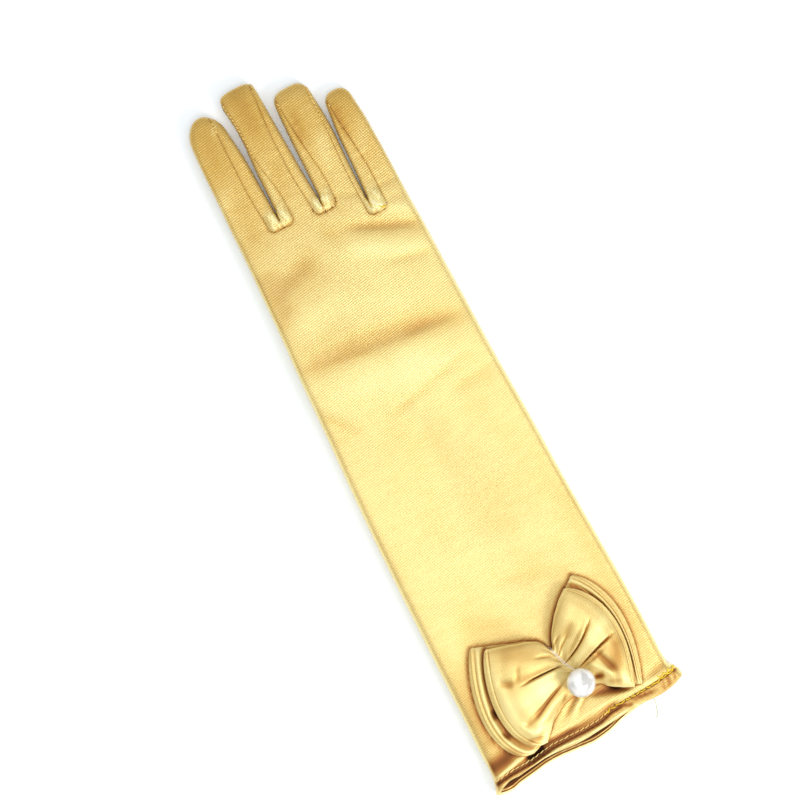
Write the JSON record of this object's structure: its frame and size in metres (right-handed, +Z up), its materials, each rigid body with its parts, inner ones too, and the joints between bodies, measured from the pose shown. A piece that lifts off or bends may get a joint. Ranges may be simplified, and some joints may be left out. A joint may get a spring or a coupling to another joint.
{
  "type": "satin glove",
  "caption": "Child's long satin dress glove for the right hand, lying flat with its back up, with a double satin bow and a pearl bead near the cuff.",
  "frame": {"origin": "middle of the glove's outline, on the surface that it lies on", "axes": "+Y from the open cuff to the fingertips, +X to the little finger's side, +Z up, out of the back of the hand"},
  "size_m": [0.0882, 0.307, 0.0283],
  "materials": {
    "glove_body": "satin",
    "fourchette_index_middle": "satin",
    "fourchette_middle_ring": "satin",
    "fourchette_ring_little": "satin",
    "thumb": "satin",
    "bow_back": "satin",
    "bow_front": "satin",
    "pearl_bead": "pearl"
  },
  "bodies": {
    "root": {"glove_body": "glove_body", "fourchette_index_middle": "fourchette_index_middle", "fourchette_middle_ring": "fourchette_middle_ring", "fourchette_ring_little": "fourchette_ring_little", "thumb": "thumb", "bow_back": "bow_back", "bow_front": "bow_front", "pearl_bead": "pearl_bead"}
  },
  "joints": []
}
